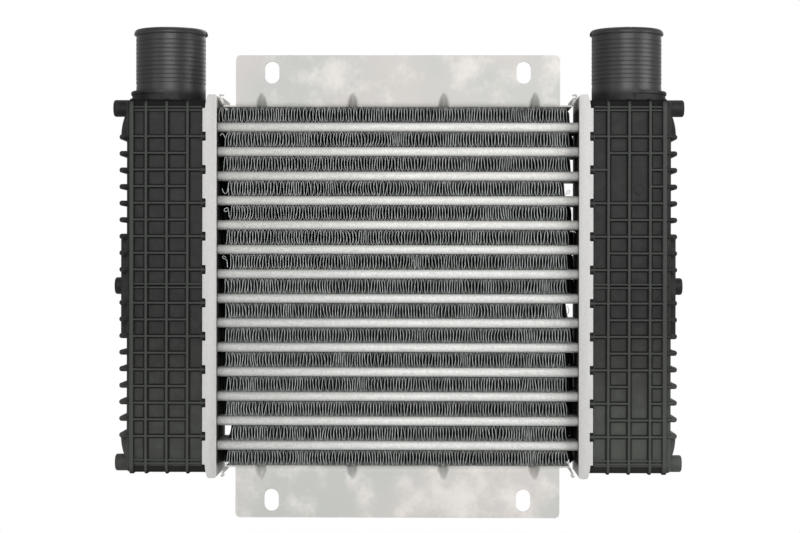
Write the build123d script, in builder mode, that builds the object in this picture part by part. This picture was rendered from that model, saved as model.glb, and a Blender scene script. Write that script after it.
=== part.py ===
"""Air-to-air intercooler with a brazed aluminium core and two crimped plastic end tanks.

Charge air enters one upright hose neck, falls into that end tank, crosses the core through
fourteen flat tubes and leaves through the other tank and neck. Cooling air blows through the
corrugated fins between the tubes. Each tank is clamped by its foot into a tray-shaped header
plate, on a rubber gasket. A side plate lies on the outer fin row at the top and bottom of the
core, and its front edge is bent up into a mounting flange with two slots.

The frame: X runs across the core, Y from front (minus) to back, Z up. X = 0 and Y = 0 are the
middle of the core, and Z = 0 is the lower edge of the bottom flange. All sizes are millimetres.
"""

import os

from build123d import *

os.makedirs("parts", exist_ok=True)

# Core
tube_count = 14
tube_depth = 62.0
tube_thick = 8.0
tube_wall = 0.6
nose_bevel = 2.4
tube_proud = 2.4  # how far a tube end stands into the tank, past the header plate
fin_height = 12.5
fin_waves = 13
fin_gauge = 0.45
fin_setback = 1.0  # fins lie this far behind the tube noses
fin_end_gap = 7.5  # bare tube between a fin row and the header plate
turbulator_waves = 3
turbulator_gauge = 0.5

# Header plates
header_sheet = 1.6
header_width = 11.8
header_lip = 6.0  # header plate past the tube noses, front and back
header_overhang = 10.25  # header plate past the outer fin row
header_corner = 2.0
header_bend = 1.5
braze_gap = 0.1
crimp_reach = 1.2  # how far the crimped edge covers the tank's foot
notch_height = 7.6
notch_depth = 2.8

# Gaskets
gasket_thick = 1.8
gasket_width = 2.6

# End tanks
fit_gap = 0.2  # foot and body inside the header tray
end_gap = 1.7  # body's top and bottom inside the mouth of the tray
tank_wall = 2.6
tank_reach = 65.7  # tank body past the header plate
tank_corner = 8.0
pad_depth = 36.0
pad_proud = 5.5

# Ribs of the tanks
rib_pitch = 13.9
rib_thick = 1.7
rib_side_proud = 5.3
column_start = 12.6
column_pitch = 17.35
column_count = 3
column_thick = 2.8
corner_column_inset = 6.3
corner_column_thick = 4.0
column_overrun = 1.5
boss_rib_thick = 4.1
boss_rib_inset = 3.6  # the outer two lie this far inside the boss axis
key_gap = 0.3
key_root = 1.2

# Locating bosses on the outer side of each tank
boss_radius = 7.2
boss_inset = 4.5
boss_proud = 13.7
ear_height = 17.7
ear_inset = 8.0
ear_proud = 5.5
ear_depth = 30.0

# Hose necks
neck_radius = 29.5
neck_wall = 3.0
neck_rise = 61.7
neck_gap = 1.4
bead_proud = 1.75
bead_height = 4.8
collar_lift = 7.2
collar_proud = 4.3
collar_height = 3.2

# Side plates with their mounting flanges
plate_sheet = 2.0
plate_bend = 3.2
plate_end_gap = 4.4
flange_height = 43.25
flange_width = 270.4
flange_margin = 15.8  # from an end of the flange to the header plate
flange_corner = 4.0
slot_length = 18.4
slot_width = 12.1
slot_spacing = 210.0
slot_rise = 28.75
tab_height = 9.5
tab_lean = 3.0
dent_reach = 11.0
dent_width = 9.0
dent_spacing = 76.0
dent_count = 4

# Worked out from the sizes above
row_pitch = tube_thick + fin_height
core_width = flange_width + 2 * flange_margin
core_height = tube_count * tube_thick + (tube_count + 1) * fin_height
core_z = flange_height + core_height / 2
header_face = core_width / 2
header_depth = tube_depth + 2 * header_lip
header_floor = header_face + header_sheet
header_edge = header_face + header_width
header_half = core_height / 2 + header_overhang
tray_half_depth = header_depth / 2 - header_sheet
tray_half_height = header_half - header_sheet
mouth_half_depth = tray_half_depth - crimp_reach
mouth_half_height = tray_half_height - crimp_reach
foot_face = header_floor + gasket_thick
foot_back = header_edge - header_sheet - fit_gap
foot_half_depth = tray_half_depth - fit_gap
foot_half_height = tray_half_height - fit_gap
body_half_depth = mouth_half_depth - fit_gap
body_half_height = mouth_half_height - end_gap
body_end = header_edge + tank_reach
rib_face = header_depth / 2
boss_z = body_half_height - boss_inset
rib_levels = int((boss_z - boss_radius - ear_height) / rib_pitch + 0.5)
neck_axis = header_edge + neck_gap + neck_radius
neck_top = body_half_height + neck_rise
first_column = header_edge + column_start
corner_column = body_end - corner_column_inset
plate_half_width = header_face - plate_end_gap

LEFT, RIGHT = -1, 1

# Level rib stretches that the right tank's mould leaves out, as rib level and the two upright
# ribs that the bare stretch runs between, counted outwards from the header plate
RIGHT_BARE_STRETCHES = [(6, 0, 2), (7, 0, 2), (-6, 1, 2), (-7, 1, 2)]


def finish(part, name):
    """Labels a finished piece and writes it to its own file."""
    part.label = name
    export_step(part, f"parts/{name}.step")


def row_z(index):
    """Middle height of the tube with this index, counted from the bottom."""
    return core_z - core_height / 2 + fin_height + tube_thick / 2 + index * row_pitch


def zigzag(length, height, waves, gauge, middle):
    """Closed outline of a folded strip: one sharp-crested wave line and its copy, a gauge above."""
    half_step = length / waves / 2
    slope_rise = height / half_step
    upright_gauge = gauge * (1 + slope_rise**2) ** 0.5
    swing = height - upright_gauge
    lower = []
    for index in range(2 * waves + 1):
        lower.append((index * half_step - length / 2, middle - height / 2 + (index % 2) * swing))
    upper = [(x, y + upright_gauge) for x, y in reversed(lower)]
    return lower + upper


# Flat tubes with bevelled, thick-walled noses and a square bore that seats the turbulator
for index in range(tube_count):
    with BuildPart() as tube:
        with BuildSketch(Plane.YZ.offset(-header_floor - tube_proud)) as section:
            with Locations((0, row_z(index))):
                Rectangle(tube_depth, tube_thick)
            chamfer(section.vertices(), nose_bevel)
            with Locations((0, row_z(index))):
                Rectangle(tube_depth - tube_thick, tube_thick - 2 * tube_wall, mode=Mode.SUBTRACT)
        extrude(amount=2 * (header_floor + tube_proud))
    finish(tube.part, f"tube_{index + 1:02d}")

# Turbulators: a folded strip brazed inside each tube, open along the air's way
for index in range(tube_count):
    room = tube_thick - 2 * tube_wall
    wave = zigzag(tube_depth - tube_thick, room, turbulator_waves, turbulator_gauge, row_z(index))
    with BuildPart() as turbulator:
        with BuildSketch(Plane.YZ.offset(-header_face)):
            with BuildLine():
                Polyline(*wave, close=True)
            make_face()
        extrude(amount=core_width)
    finish(turbulator.part, f"turbulator_{index + 1:02d}")

# Corrugated fins: one folded strip between each pair of tubes, and one outside the end tubes
for index in range(tube_count + 1):
    middle = row_z(index) - row_pitch / 2
    wave = zigzag(core_width - 2 * fin_end_gap, fin_height, fin_waves, fin_gauge, middle)
    with BuildPart() as fin:
        with BuildSketch(Plane.XZ.offset(-tube_depth / 2 + fin_setback)):
            with BuildLine():
                Polyline(*wave, close=True)
            make_face()
        extrude(amount=tube_depth - 2 * fin_setback)
    finish(fin.part, f"fin_{index + 1:02d}")


def header_plate(side):
    """Pressed tray that holds the tube ends, with its edge crimped over the tank's foot."""
    with BuildPart() as header:
        with BuildSketch(Plane.YZ.offset(side * header_face)) as blank:
            with Locations((0, core_z)):
                Rectangle(header_depth, 2 * header_half)
            chamfer(blank.vertices(), header_corner)
        extrude(amount=side * header_width)
        core_face = header.faces().filter_by(Axis.X).sort_by(Axis.X)[0 if side > 0 else -1]
        chamfer(core_face.edges(), header_bend)
        with BuildSketch(Plane.YZ.offset(side * header_floor)):
            with Locations((0, core_z)):
                Rectangle(2 * tray_half_depth, 2 * tray_half_height)
        extrude(amount=side * (header_width - 2 * header_sheet), mode=Mode.SUBTRACT)
        with BuildSketch(Plane.YZ.offset(side * header_floor)):
            with Locations((0, core_z)):
                Rectangle(2 * mouth_half_depth, 2 * mouth_half_height)
        extrude(amount=side * header_width, mode=Mode.SUBTRACT)
        with BuildSketch(Plane.YZ.offset(side * header_face)) as pierced:
            for index in range(tube_count):
                with Locations((0, row_z(index))):
                    Rectangle(tube_depth + 2 * braze_gap, tube_thick + 2 * braze_gap)
            chamfer(pierced.vertices(), nose_bevel)
        extrude(amount=side * header_sheet, mode=Mode.SUBTRACT)
        with BuildSketch(Plane.XZ.offset(-header_depth / 2)):
            for level in long_rib_levels():
                with Locations((side * header_edge, core_z + level * rib_pitch)):
                    Rectangle(2 * notch_depth, notch_height)
        extrude(amount=header_depth, mode=Mode.SUBTRACT)
    return header.part


def long_rib_levels():
    """Every second level rib reaches the header plate, where a notch takes its foot."""
    return [level for level in range(-rib_levels, rib_levels + 1) if level % 2]


def gasket_ring(side):
    """Rubber frame between the floor of the header tray and the tank's foot."""
    with BuildPart() as gasket:
        with BuildSketch(Plane.YZ.offset(side * header_floor)):
            with Locations((0, core_z)):
                Rectangle(2 * foot_half_depth, 2 * foot_half_height)
                Rectangle(
                    2 * (foot_half_depth - gasket_width),
                    2 * (foot_half_height - gasket_width),
                    mode=Mode.SUBTRACT,
                )
        extrude(amount=side * gasket_thick)
    return gasket.part


def outline(side, start, end, half_depth, corner):
    """Level section of a tank: square at the header plate, with cut corners on the outer side."""
    with BuildSketch(Plane.XY, mode=Mode.PRIVATE) as section:
        with Locations((side * (start + end) / 2, 0)):
            Rectangle(end - start, 2 * half_depth)
        outer_corners = section.vertices().group_by(Axis.X)[-1 if side > 0 else 0]
        chamfer(outer_corners, corner)
    return section.sketch


def end_tank(side, bare_stretches):
    """Moulded end tank: foot, body, rib lattice, bosses and hose neck in one piece."""
    with BuildPart() as tank:
        # Foot, which the header plate's edge clamps
        with BuildSketch(Plane.YZ.offset(side * foot_face)):
            with Locations((0, core_z)):
                Rectangle(2 * foot_half_depth, 2 * foot_half_height)
        extrude(amount=side * (foot_back - foot_face))

        # Body
        with BuildSketch(Plane.XY.offset(core_z - body_half_height)):
            add(outline(side, foot_face, body_end, body_half_depth, tank_corner))
        extrude(amount=2 * body_half_height)

        # Level ribs, which wrap round the outer side. Only every fourth one goes on across the back
        level_end = body_end + rib_side_proud
        for level in range(-rib_levels, rib_levels + 1):
            if level == 0:
                continue
            start = header_edge if level % 2 else first_column
            with BuildSketch(Plane.XY.offset(core_z + level * rib_pitch - rib_thick / 2)):
                add(outline(side, start, level_end, rib_face, tank_corner + rib_side_proud / 2))
                if level % 4 != 1:
                    with Locations((side * (header_edge + corner_column) / 2, rib_face)):
                        Rectangle(corner_column - header_edge, rib_face, mode=Mode.SUBTRACT)
        extrude(amount=rib_thick)

        # Rib feet, which key into the notches of the header plate
        with BuildSketch(Plane.XZ.offset(-rib_face)):
            for level in long_rib_levels():
                key_start = header_edge - notch_depth + key_gap
                key_end = header_edge + key_root
                with Locations((side * (key_start + key_end) / 2, core_z + level * rib_pitch)):
                    Rectangle(key_end - key_start, notch_height - 2 * key_gap)
        extrude(amount=2 * rib_face)

        # A broader rib beside each boss
        for centre in (boss_rib_inset - boss_z, 0, boss_z - boss_rib_inset):
            with BuildSketch(Plane.XY.offset(core_z + centre - boss_rib_thick / 2)):
                add(outline(side, header_edge, body_end, rib_face, tank_corner))
        extrude(amount=boss_rib_thick)

        # Bare stretches between upright ribs, on the front face alone
        columns = [first_column + index * column_pitch for index in range(column_count)]
        for level, inner, outer in bare_stretches:
            middle = (columns[inner] + columns[outer]) / 2
            with BuildSketch(Plane.XZ.offset(body_half_depth)):
                with Locations((side * middle, core_z + level * rib_pitch)):
                    Rectangle(columns[outer] - columns[inner], rib_pitch / 2)
            extrude(amount=rib_face - body_half_depth, mode=Mode.SUBTRACT)

        # Upright ribs on both faces
        with BuildSketch(Plane.XY.offset(core_z - body_half_height - column_overrun)):
            for column in columns:
                with Locations((side * column, 0)):
                    Rectangle(column_thick, 2 * rib_face)
            with Locations((side * corner_column, 0)):
                Rectangle(corner_column_thick, 2 * rib_face)
        extrude(amount=2 * (body_half_height + column_overrun))

        # Raised pad in the middle of the outer side
        with BuildSketch(Plane.XZ.offset(-pad_depth / 2)):
            with Locations((side * (body_end + pad_proud / 2 - tank_wall), core_z)):
                Rectangle(pad_proud + 2 * tank_wall, 6 * rib_pitch)
        extrude(amount=pad_depth)

        # Bosses, and the rounded ears that carry the outer two
        with BuildSketch(Plane.YZ.offset(side * (corner_column - tank_wall))):
            for centre in (-boss_z, 0, boss_z):
                with Locations((0, core_z + centre)):
                    Circle(boss_radius)
        extrude(amount=side * (body_end + boss_proud - corner_column + tank_wall))
        for end in (-1, 1):
            with BuildSketch(Plane.XZ.offset(-ear_depth / 2)):
                with Locations((side * (body_end - ear_inset), core_z + end * rib_levels * rib_pitch)):
                    Ellipse(ear_inset + ear_proud, boss_z - rib_levels * rib_pitch - boss_radius / 2)
                with Locations((side * (body_end - ear_inset), core_z)):
                    Rectangle(2 * tank_reach, 2 * rib_levels * rib_pitch, mode=Mode.SUBTRACT)
                with Locations((side * corner_column - side * tank_reach / 2, core_z)):
                    Rectangle(tank_reach, 4 * body_half_height, mode=Mode.SUBTRACT)
            extrude(amount=ear_depth)

        # Hose neck with its bead, and the half collar round the outer side of its root
        with BuildSketch(Plane.XY.offset(core_z + body_half_height)):
            with Locations((side * neck_axis, 0)):
                Circle(neck_radius)
        extrude(amount=neck_rise)
        with BuildSketch(Plane.XY.offset(core_z + neck_top - bead_height)):
            with Locations((side * neck_axis, 0)):
                Circle(neck_radius + bead_proud)
        extrude(amount=bead_height)
        half_turn = 2 * (neck_radius + collar_proud)
        with BuildSketch(Plane.XY.offset(core_z + body_half_height + collar_lift)):
            with Locations((side * neck_axis, 0)):
                Circle(neck_radius + collar_proud)
            with Locations((side * (neck_axis - half_turn / 2), 0)):
                Rectangle(half_turn, half_turn, mode=Mode.SUBTRACT)
        extrude(amount=collar_height)

        # Cavity, open towards the header plate, and the bore of the neck
        cavity_half_height = body_half_height - tank_wall
        with BuildSketch(Plane.XY.offset(core_z - cavity_half_height)):
            add(
                outline(
                    side,
                    foot_face,
                    body_end - tank_wall,
                    body_half_depth - tank_wall,
                    tank_corner - tank_wall,
                )
            )
        extrude(amount=2 * cavity_half_height, mode=Mode.SUBTRACT)
        with BuildSketch(Plane.XY.offset(core_z + cavity_half_height)):
            with Locations((side * neck_axis, 0)):
                Circle(neck_radius - neck_wall)
        extrude(amount=tank_wall + neck_rise, mode=Mode.SUBTRACT)
    return tank.part


def dent_plane(x, seat, end, corner_front):
    """Plane across a pressed dent. Its ridge slopes from the flange down to the plate."""
    middle = (x, -corner_front + dent_reach / 2, seat + end * dent_reach / 2)
    return Plane(origin=middle, x_dir=(end, 0, 0), z_dir=(0, 1, -end))


def side_plate(end):
    """Sheet on the outer fin row with its front bent into a slotted flange. end is 1 at the top."""
    seat = core_z + end * core_height / 2
    back = tube_depth / 2
    front = back + plate_sheet
    rise = end * flange_height
    lift = end * plate_sheet
    # V shape of a dent: its ridge at the origin, dent_width across where the sheet is bent
    dent_far = dent_reach * 2**0.5
    dent = [(0, 0), (-dent_width, dent_far), (dent_width, dent_far)]
    dent_places = [(index - (dent_count - 1) / 2) * dent_spacing for index in range(dent_count)]
    with BuildPart() as plate:
        # Inner sides of the dents, which stand across the inside of the bend as small gussets
        for x in dent_places:
            with BuildSketch(dent_plane(x, seat + lift, end, front - plate_sheet)):
                with BuildLine():
                    Polyline(*dent, close=True)
                make_face()
        extrude(amount=dent_reach, both=True)
        with BuildSketch(Plane.YZ.offset(-flange_width / 2)):
            with Locations((dent_reach - front, seat + end * dent_reach)):
                Rectangle(2 * dent_reach, 2 * dent_reach)
        extrude(amount=flange_width, mode=Mode.INTERSECT)

        # Sheet, bent once
        with BuildSketch(Plane.YZ.offset(-flange_width / 2)):
            with BuildLine():
                FilletPolyline((-front, seat + rise), (-front, seat), (back, seat), radius=plate_bend)
                Line((back, seat), (back, seat + lift))
                FilletPolyline(
                    (back, seat + lift),
                    (-back, seat + lift),
                    (-back, seat + rise),
                    radius=plate_bend - plate_sheet,
                )
                Line((-back, seat + rise), (-front, seat + rise))
            make_face()
        extrude(amount=flange_width)

        # Plate past the flange, and its ends turned away from the core beside the header plates
        with BuildSketch(Plane.XZ.offset(-back)):
            for way in (LEFT, RIGHT):
                with BuildLine():
                    Polyline(
                        (way * flange_width / 2, seat),
                        (way * plate_half_width, seat),
                        (way * (plate_half_width + tab_lean), seat + lift + end * tab_height),
                        (way * (plate_half_width + tab_lean - plate_sheet), seat + lift + end * tab_height),
                        (way * (plate_half_width - plate_sheet), seat + lift),
                        (way * flange_width / 2, seat + lift),
                        close=True,
                    )
                make_face()
        extrude(amount=2 * back)

        # Outer sides of the dents, the mounting slots and the rounded corners of the flange
        for x in dent_places:
            with BuildSketch(dent_plane(x, seat, end, front)):
                with BuildLine():
                    Polyline(*dent, close=True)
                make_face()
        extrude(amount=dent_reach, both=True, mode=Mode.SUBTRACT)
        with BuildSketch(Plane.XZ.offset(back)):
            for way in (LEFT, RIGHT):
                with Locations((way * slot_spacing / 2, seat + end * slot_rise)):
                    SlotOverall(slot_length, slot_width, rotation=90)
        extrude(amount=plate_sheet, mode=Mode.SUBTRACT)
        corners = plate.edges().filter_by(Axis.Y).group_by(Axis.Z)[-1 if end > 0 else 0]
        fillet(corners, flange_corner)
    return plate.part


for side, word, bare in ((LEFT, "left", []), (RIGHT, "right", RIGHT_BARE_STRETCHES)):
    finish(header_plate(side), f"{word}_header")
    finish(gasket_ring(side), f"{word}_gasket")
    finish(end_tank(side, bare), f"{word}_tank")

for end, word in ((1, "top"), (-1, "bottom")):
    finish(side_plate(end), f"{word}_side_plate")
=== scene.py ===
# %% [markdown]
# # An intercooler, dressed from its CAD frame
#
# An intercooler cools the air that a turbocharger has squeezed. This lesson takes the packed
# CAD model as a fixed frame and gives each visible piece the shape detail and the finish of
# the real one: corrugated fins, flat tubes, crimped header plates, pressed side plates and
# ribbed plastic tanks. Nothing that the CAD places is moved. Each new piece rides on the one
# body of the model, stands where its CAD node stands, and takes its sizes from that node's box.

# %% Load the frame
from math import cos, pi, radians, sin

import bmesh
import bpy
from mathutils import Matrix, Vector


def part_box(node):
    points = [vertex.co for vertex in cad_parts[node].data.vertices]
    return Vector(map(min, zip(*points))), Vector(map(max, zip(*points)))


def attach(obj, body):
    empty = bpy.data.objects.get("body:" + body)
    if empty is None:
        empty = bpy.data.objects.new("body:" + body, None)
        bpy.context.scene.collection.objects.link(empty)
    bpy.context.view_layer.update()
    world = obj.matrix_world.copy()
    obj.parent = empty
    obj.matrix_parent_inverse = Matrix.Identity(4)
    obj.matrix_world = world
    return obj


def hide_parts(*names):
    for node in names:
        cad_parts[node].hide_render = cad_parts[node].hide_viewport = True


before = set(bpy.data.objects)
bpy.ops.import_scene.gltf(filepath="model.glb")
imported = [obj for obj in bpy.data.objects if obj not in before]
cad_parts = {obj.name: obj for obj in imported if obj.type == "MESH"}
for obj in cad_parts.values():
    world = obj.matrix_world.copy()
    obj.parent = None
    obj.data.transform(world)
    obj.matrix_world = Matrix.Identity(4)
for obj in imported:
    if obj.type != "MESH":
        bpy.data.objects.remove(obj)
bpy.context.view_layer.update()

MM = 0.001
TUBES = sorted(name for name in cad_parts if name.startswith("tube_"))
FINS = sorted(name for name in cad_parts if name.startswith("fin_"))
SIDES = {"left": -1, "right": 1}
print(len(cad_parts), "CAD nodes,", len(TUBES), "tubes,", len(FINS), "fin rows")

# %% [markdown]
# ## Measuring the frame
#
# Every size below starts from the box of a CAD node, so a piece always fits its neighbours.
# X runs across the part, Y from the front to the back, and Z upwards.

# %% Sizes read from the frame
def box(name):
    """Lowest and highest corner of a CAD node, as two vectors in metres."""
    low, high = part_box(name)
    return Vector(low), Vector(high)


header_low, header_high = box("right_header")
core_half_width = header_low.x
core_z = (header_low.z + header_high.z) / 2
tube_low, tube_high = box(TUBES[0])
row_pitch = (box(TUBES[-1])[0].z - tube_low.z) / (len(TUBES) - 1)
fin_low, fin_high = box(FINS[0])
fin_height = fin_high.z - fin_low.z
print(f"core {2 * core_half_width * 1000:.1f} mm wide, rows every {row_pitch * 1000:.2f} mm")

# %% Tank sizes
header_edge = header_high.x
face_y = header_high.y
body_end = header_edge + 65.7 * MM
body_face = face_y - 3.0 * MM
body_half = (header_high.z - header_low.z) / 2 - 4.5 * MM
body_top = core_z + body_half
tank_low, tank_high = box("right_tank")
column_x = [header_edge + (12.6 + 17.35 * index) * MM for index in range(3)]
corner_x = body_end - 6.3 * MM
neck_x = header_edge + 30.9 * MM
NECK_RADIUS = 29.5 * MM
NECK_BORE = 26.5 * MM
RIB_PITCH = 13.9 * MM
RIB_DEPTH = 6.0 * MM
RIB_COUNT = 9
# Level ribs from the middle: all of them, and those that are long and have a foot in a notch
RIB_LEVELS = [level for level in range(-RIB_COUNT, RIB_COUNT + 1) if level]
LONG_LEVELS = range(-RIB_COUNT, RIB_COUNT + 1, 2)
# Height of each boss from the middle, and how far its tip stays behind the longest one
BOSSES = ((-150.4 * MM, 1.7 * MM), (0.0, 1.3 * MM), (151 * MM, 0.0))
TWIN_LEVELS = (-146.4 * MM, 0.4 * MM, 148.2 * MM)
print(f"tank body {1000 * (body_end - header_edge):.1f} mm wide, {2000 * body_half:.0f} mm tall")

# %% [markdown]
# ## A short way to write node maths
#
# A material is a graph of nodes, and its maths reads badly as separate node calls. The class
# below wraps one socket, and a sum with it adds a Math node, so that a mask can be written as
# `1 - mask * 0.3`. Any other node comes from `node`. Geometry Nodes trees use the same class.

# %% The socket class
class Sock:
    """One output socket of a node tree, that Python can do sums with."""

    def __init__(self, tree, socket):
        self.tree = tree
        self.socket = socket

    def node(self, kind, settings=None, out=0, **links):
        """Adds a node of this kind, fills its inputs and returns one of its outputs."""
        made = self.tree.nodes.new(kind)
        for key, value in (settings or {}).items():
            setattr(made, key, value)
        self.fill(made, **links)
        return Sock(self.tree, made.outputs[out])

    def fill(self, made, **links):
        """Fills inputs of a node, by their names with _ for a space, or by i and a number."""
        for key, value in links.items():
            by_number = key[0] == "i" and key[1:].isdigit()
            self.feed(made.inputs[int(key[1:]) if by_number else key.replace("_", " ")], value)

    def feed(self, target, value):
        """Links a wrapped socket to an input, or sets a plain value on it."""
        if isinstance(value, Sock):
            self.tree.links.new(value.socket, target)
        else:
            target.default_value = value

    def math(self, operation, other=0.0):
        return self.node("ShaderNodeMath", {"operation": operation}, i0=self, i1=other)

    def __add__(self, other): return self.math("ADD", other)
    def __sub__(self, other): return self.math("SUBTRACT", other)
    def __mul__(self, other): return self.math("MULTIPLY", other)
    def __truediv__(self, other): return self.math("DIVIDE", other)
    def __rsub__(self, other): return self * -1.0 + other
    def __abs__(self): return self.math("ABSOLUTE")

    def off_whole(self):
        """How far a number is from the nearest whole one."""
        return abs(self - self.math("ROUND"))

    def between(self, low, high):
        """0 below low, 1 above high, and a smooth step in between. low may be above high."""
        smooth = {"interpolation_type": "SMOOTHSTEP"}
        return self.node("ShaderNodeMapRange", smooth, i0=self, i1=low, i2=high, i3=0.0, i4=1.0)


def axis(place, letter):
    """One coordinate of a place, as a wrapped number in metres."""
    return place.node("ShaderNodeSeparateXYZ", out="XYZ".index(letter), i0=place)

# %% Colours, textures and materials
def blend(low, high, share):
    """Mixes two colours by a wrapped share between 0 and 1."""
    return share.node("ShaderNodeMix", {"data_type": "RGBA"}, out=2, i0=share, i6=low, i7=high)


def colour(red, green, blue):
    """A colour given from 0 to 255, as on a screen, turned to Blender's linear scale."""
    def linear(value):
        value = value / 255
        return value / 12.92 if value <= 0.04045 else ((value + 0.055) / 1.055) ** 2.4

    return (linear(red), linear(green), linear(blue), 1)


def scaled(tone, share):
    """A lighter or darker tone of a colour."""
    return (*[min(1.0, channel * share) for channel in tone[:3]], 1)


def start_material(name):
    """A new node material: its shader, and its start socket with Object coordinates."""
    material = bpy.data.materials.new(name)
    material.use_nodes = True
    tree = material.node_tree
    place = tree.nodes.new("ShaderNodeTexCoord")
    return material, tree.nodes["Principled BSDF"], Sock(tree, place.outputs["Object"])


def noise(place, scale, detail=3.0, rough=0.5, stretch=(1, 1, 1)):
    """Smooth noise between 0 and 1. scale is in waves for each metre."""
    spot = place.node("ShaderNodeMapping", Vector=place, Scale=stretch)
    return place.node("ShaderNodeTexNoise", Vector=spot, Scale=scale, Detail=detail, Roughness=rough)


def bump(place, height, strength, distance):
    """A surface normal with this height on it."""
    return place.node("ShaderNodeBump", Height=height, Strength=strength, Distance=distance)


def surface(start, mixed):
    """Makes a mixed shader the surface of the material that start belongs to."""
    start.feed(start.tree.nodes["Material Output"].inputs["Surface"], mixed)


def shaded(place, shader, mask, tone, normal):
    """Paints shade: mixes a dark, matt surface over a material wherever the mask says so."""
    values = {"Base_Color": tone, "Roughness": 0.9, "Specular_IOR_Level": 0.1, "Normal": normal}
    painted_shade = place.node("ShaderNodeBsdfPrincipled", **values)
    bright = Sock(place.tree, shader.outputs[0])
    surface(place, place.node("ShaderNodeMixShader", i0=mask, i1=bright, i2=painted_shade))

# %% [markdown]
# ## The finishes
#
# Five finishes cover what is seen. Brazed aluminium is pale grey and satin, a little blotchy
# where the flux ran. The fins are the same sheet, but their walls are painted dark as the shade
# they stand in, so only the cut front edge looks bright. The tanks are black nylon with glass
# fibre, which dries to a faint mottle, with paler rib tops.

# %% Aluminium for the tubes and header plates
def aluminium(name, tone, blotch, rough, metal, streak):
    material, shader, place = start_material(name)
    clouds = noise(place, 55, 4, 0.6, streak)
    grain = noise(place, 600, 2, 0.6)
    share = clouds.between(0.3, 0.75) * 0.4 + grain.between(0.3, 0.7) * 0.6
    skin_colour = blend(scaled(tone, 1 - blotch), scaled(tone, 1 + blotch * 0.6), share)
    if name == "tube_aluminium":
        # Painted shade, along with dried flux: each tube is darker towards its joints with the fins, where
        # its round noses turn from the light
        level = (axis(place, "Z") - core_z) / row_pitch - 0.5
        painted_shade = (level.off_whole() * row_pitch).between(1.2 * MM, 3.9 * MM) * 0.42
        skin_colour = blend(skin_colour, scaled(tone, 0.45), painted_shade)
    skin = bump(place, grain + clouds * 0.5, 0.16, 0.4 * MM)
    roughness = clouds * 0.16 + (rough - 0.08)
    place.fill(shader, Base_Color=skin_colour, Roughness=roughness, Normal=skin, Metallic=metal)
    if name == "header_aluminium":
        # Painted shade: the core side of the plate, between the tubes, is darkened where it lies in shadow
        near = abs(axis(place, "X")).between(core_half_width + 1.6 * MM, core_half_width + 0.5 * MM)
        inside = abs(axis(place, "Y")).between(face_y - 1 * MM, face_y - 2.5 * MM)
        between_plates = abs(axis(place, "Z") - core_z).between(152 * MM, 147 * MM)
        shaded(place, shader, near * inside * between_plates * 0.92, colour(34, 32, 28), skin)
    return material


tube_finish = aluminium("tube_aluminium", colour(196, 196, 193), 0.2, 0.5, 0.0, (1, 6, 6))
header_finish = aluminium("header_aluminium", colour(172, 171, 169), 0.09, 0.55, 0.05, (6, 6, 1))
print("tube and header finishes made")

# %% Side plate finish
# The palest sheet, with large soft smudges from handling, slightly warmer than the sheet
plate_finish, shader, place = start_material("plate_aluminium")
smudge = noise(place, 26, 5, 0.62).between(0.46, 0.68)
warm = noise(place, 14, 2, 0.5).between(0.4, 0.7)
grain = noise(place, 700, 3, 0.6)
base = blend(colour(166, 167, 163), colour(176, 172, 169), warm)
place.fill(
    shader,
    Base_Color=blend(base, colour(200, 196, 192), smudge * 0.8),
    Roughness=smudge * 0.12 + 0.58,
    Normal=bump(place, grain * 0.3 + smudge * 0.4, 0.12, 0.3 * MM),
    Metallic=0.05,
    Specular_IOR_Level=0.3,
)

# %% Fin finish: bright edges, walls painted dark as shade
# How far back the second layer of folds starts, as a share of the fins' depth
SECOND = 0.032

fin_finish, shader, place = start_material("fin_aluminium")
y = axis(place, "Y")
face = fin_high.y
edge = abs(y).between(face - 1.2 * MM, face - 0.25 * MM)
spot = 2 * face * SECOND - face
second = y.between(spot - 0.5 * MM, spot - 0.2 * MM) * y.between(spot + 1.2 * MM, spot + 0.3 * MM)
patch = noise(place, 120, 3, 0.6).between(0.3, 0.7)
# The walls' dark colour is painted shade for the deep gaps between the folds; the rims keep the sheet's pale
# colour
wall = blend(colour(20, 22, 21), colour(38, 40, 39), patch)
rim = blend(colour(146, 150, 148), colour(184, 188, 186), patch)
skin_colour = blend(wall, rim, edge + second * 0.7)
place.fill(shader, Base_Color=skin_colour, Roughness=0.65, Specular_IOR_Level=0.12)

# %% Where shade is painted on the moulding
def shaded_places(place):
    """Where shade is painted on the moulding, from 0 to 1: beside ribs, past the twin ribs, in notches."""
    x, up = axis(place, "X"), axis(place, "Z") - core_z
    across, height = abs(x), abs(up)
    on_face = abs(axis(place, "Y")).between(face_y - 1.6 * MM, face_y - 2.4 * MM)
    in_lattice = across.between(corner_x + 4 * MM, corner_x + 2 * MM)
    level = up / RIB_PITCH
    # How far the nearest level rib is, and the nearest long one
    every = level.off_whole() * RIB_PITCH
    second = (level * 0.5 - 0.5).off_whole() * (2 * RIB_PITCH)
    inner_cell = across.between(column_x[0] + 0.5 * MM, column_x[0] - 0.5 * MM)
    # The right tank has tall cells without ribs, narrower below the middle than above it
    tall = abs(level).between(5.4, 5.6) * abs(level).between(7.6, 7.4)
    tall_cell = tall * across.between(column_x[2], column_x[2] - MM) * x.between(0, MM)
    upper = level.between(-0.1, 0.1)
    tall_cell = tall_cell * upper.math("MAXIMUM", across.between(column_x[1], column_x[1] + MM))
    top_cell = height.between(9.4 * RIB_PITCH, 9.6 * RIB_PITCH)
    near = every + (second - every) * inner_cell + (tall_cell + top_cell) * 0.02
    for column in [*column_x, corner_x]:
        near = near.math("MINIMUM", abs(across - column) - 0.6 * MM)
    beside = near.between(2.6 * MM, 1.2 * MM) * height.between(148 * MM, 147 * MM)
    past = height.between(149.6 * MM, 150.4 * MM) * height.between(156.6 * MM, 156.2 * MM)
    foot = across.between(header_edge + 0.9 * MM, header_edge + 0.4 * MM) * every.between(0.8 * MM, 1.1 * MM)
    return (beside.math("MAXIMUM", past) * on_face * in_lattice * 0.8).math("MAXIMUM", foot * 0.85)

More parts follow.
